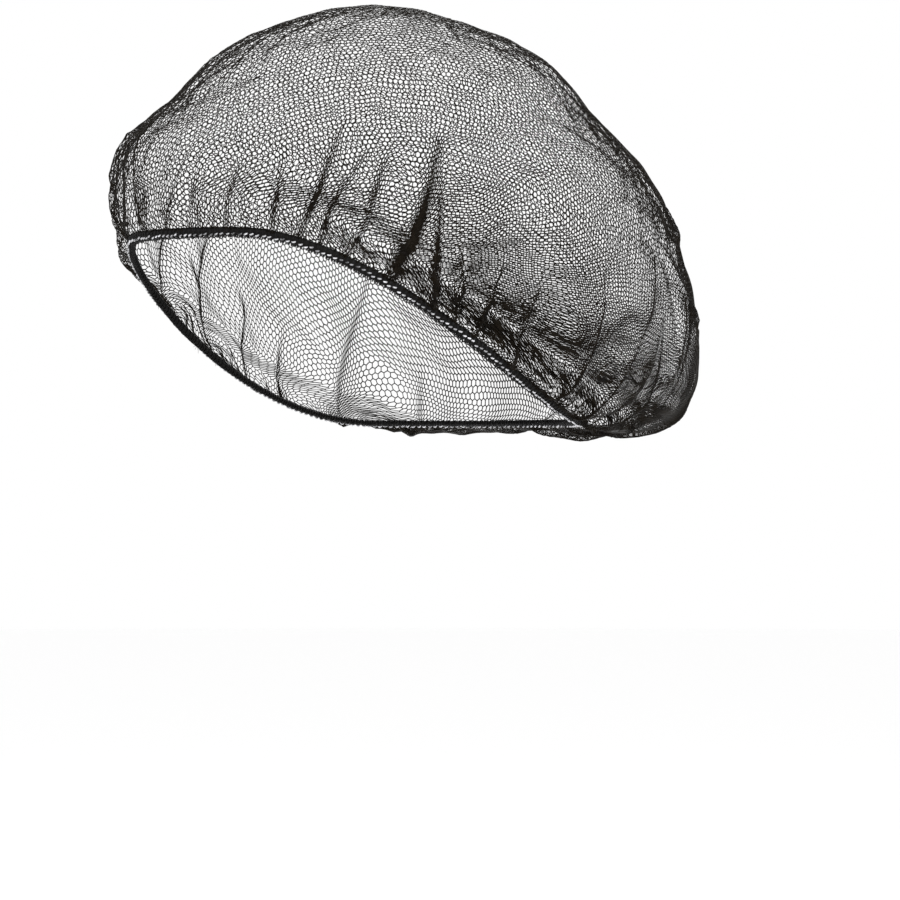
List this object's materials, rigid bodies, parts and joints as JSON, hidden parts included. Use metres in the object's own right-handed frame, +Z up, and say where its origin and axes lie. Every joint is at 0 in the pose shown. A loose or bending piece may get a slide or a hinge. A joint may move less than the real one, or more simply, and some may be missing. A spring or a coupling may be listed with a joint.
{
  "type": "hairnet",
  "caption": "Worn hairnet: a thin black hexagonal net cap with a loose pouch at the back, gathered onto a narrow elastic edge round the head opening.",
  "frame": {"origin": "the middle of the head opening: halfway between the front and the back of the elastic edge, and halfway between their heights", "axes": "+Z up to the crown, -Y towards the wearer's face, +X towards the wearer's left"},
  "size_m": [0.1894, 0.265, 0.1693],
  "materials": {
    "net": "black nylon hexagonal net, slightly shiny strands",
    "elastic": "black overlocked elastic with shiny yarn"
  },
  "bodies": {
    "root": {"net_cap": "net", "elastic_edge": "elastic"}
  },
  "joints": []
}
